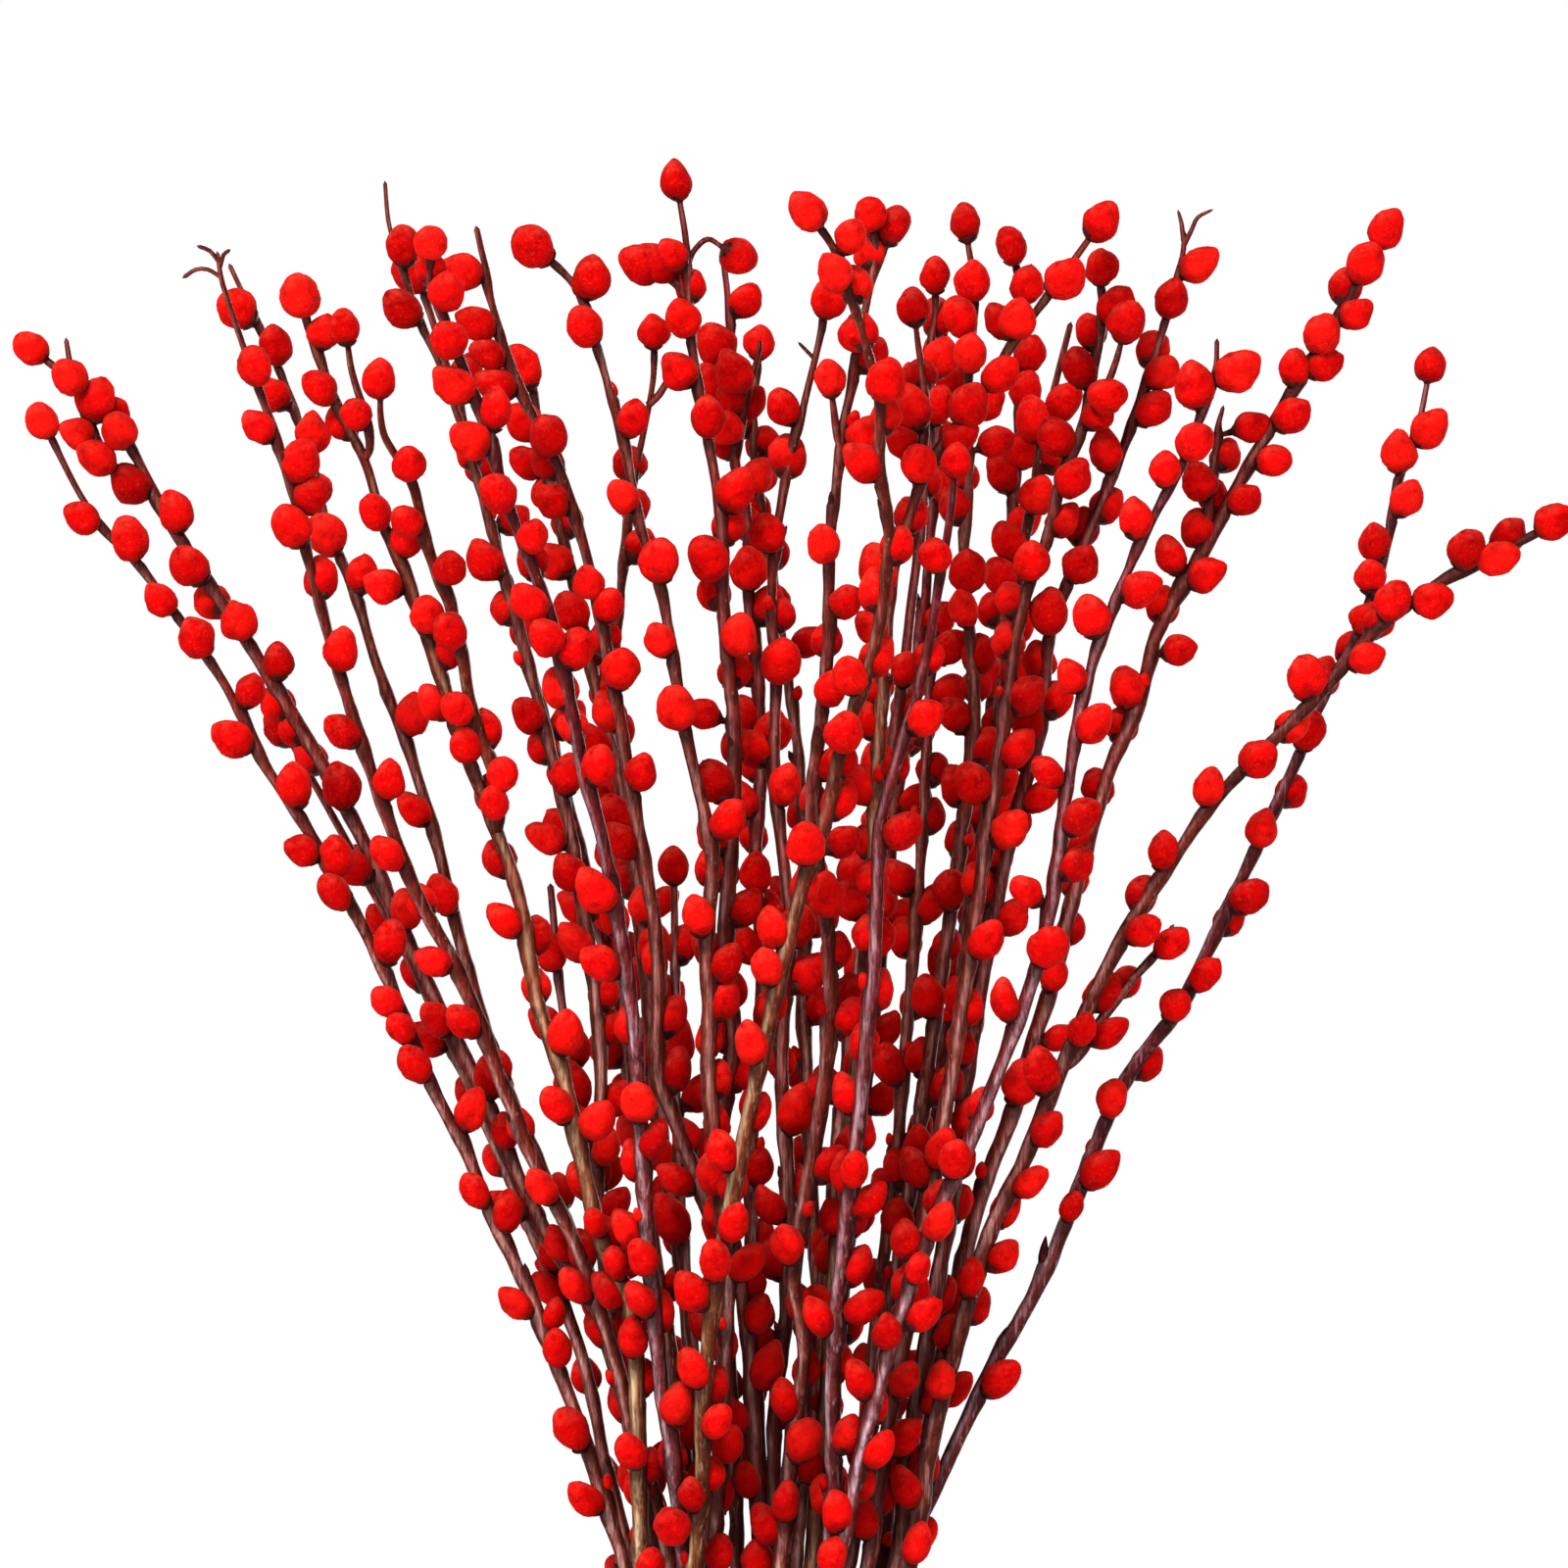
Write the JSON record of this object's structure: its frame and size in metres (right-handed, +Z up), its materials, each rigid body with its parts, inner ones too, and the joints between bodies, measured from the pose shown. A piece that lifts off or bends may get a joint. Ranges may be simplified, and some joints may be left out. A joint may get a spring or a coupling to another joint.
{
  "type": "dried red willow branches in vase",
  "caption": "Dried willow branches with soft red-dyed catkins, fanned out of a plain glazed vase that stands on its flat foot",
  "frame": {"origin": "centre of the vase's flat underside", "axes": "+Z up, -Y towards the viewer, +X to the viewer's right; metres"},
  "size_m": [0.7111, 0.3562, 1.0081],
  "materials": {
    "vase_glaze": "plain off-white glaze",
    "branch": "velvety dyed catkins on dark reddish-brown bark"
  },
  "bodies": {
    "root": {"vase": "vase_glaze", "branch_01": "branch", "branch_02": "branch", "branch_03": "branch", "branch_04": "branch", "branch_05": "branch", "branch_06": "branch", "branch_07": "branch", "branch_08": "branch", "branch_09": "branch", "branch_10": "branch", "branch_11": "branch", "branch_12": "branch", "branch_13": "branch", "branch_14": "branch", "branch_15": "branch", "branch_16": "branch", "branch_17": "branch", "branch_18": "branch", "branch_19": "branch", "branch_20": "branch", "branch_21": "branch", "branch_22": "branch", "branch_23": "branch", "branch_24": "branch", "branch_25": "branch", "branch_26": "branch", "branch_27": "branch", "branch_28": "branch", "branch_29": "branch", "branch_30": "branch", "branch_31": "branch", "branch_32": "branch", "branch_33": "branch", "branch_34": "branch", "branch_35": "branch"}
  },
  "joints": []
}
